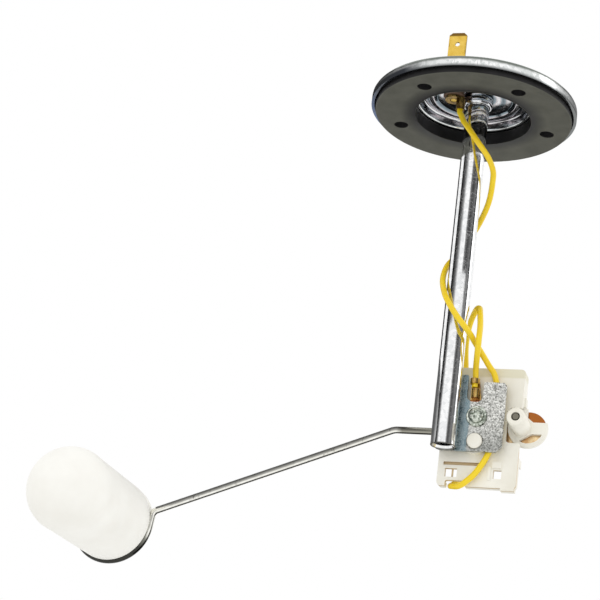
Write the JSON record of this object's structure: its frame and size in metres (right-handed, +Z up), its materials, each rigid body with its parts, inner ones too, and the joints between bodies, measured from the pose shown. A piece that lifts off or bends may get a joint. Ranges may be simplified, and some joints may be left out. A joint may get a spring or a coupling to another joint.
{
  "type": "fuel level sender",
  "caption": "Tank sender: round flanged cover on a gasket, hanging stem, wire-wound resistor in a plastic housing, and a float on a hinged wire arm.",
  "frame": {"origin": "centre of the gasket's underside, the plane that meets the tank", "axes": "+Z up out of the tank along the stem, -X along the float arm at rest, -Y the side of the bracket that the picture shows"},
  "size_m": [0.1682, 0.0716, 0.1904],
  "materials": {
    "zinc_plate": "bright zinc plate",
    "black_rubber": "moulded, dull",
    "brass": "stamped sheet",
    "copper": "stamped copper",
    "brown_phenolic": "moulded, dull",
    "natural_nylon": "moulded, satin",
    "resistance_wire": "close winding",
    "bright_steel": "drawn wire",
    "milky_polyethylene": "blow moulded, milky",
    "yellow_pvc": "extruded"
  },
  "bodies": {
    "sender": {"cover_plate": "zinc_plate", "gasket": "black_rubber", "stem_tube": "zinc_plate", "stem_collar": "zinc_plate", "terminal_blade": "brass", "terminal_bush": "brown_phenolic", "terminal_washer": "brown_phenolic", "terminal_rivet": "brass", "terminal_tag": "brass", "bracket_plate": "zinc_plate", "bracket_screw": "zinc_plate", "screw_washer": "zinc_plate", "resistor_housing": "natural_nylon", "housing_back": "natural_nylon", "resistor_card": "brown_phenolic", "resistor_winding": "resistance_wire", "resistor_lug": "brass", "lug_rivet": "copper", "signal_lead": "yellow_pvc"},
    "arm": {"rotor": "natural_nylon", "wiper_leaf": "copper", "wiper_contact": "brass", "float_arm": "bright_steel", "float": "milky_polyethylene"}
  },
  "joints": [
    {"name": "float_hinge", "type": "hinge", "parent": "sender", "child": "arm", "pos_m": [0.0245, 0, -0.1076], "axis": [0, 1, 0], "range_deg": [0, 52]}
  ]
}
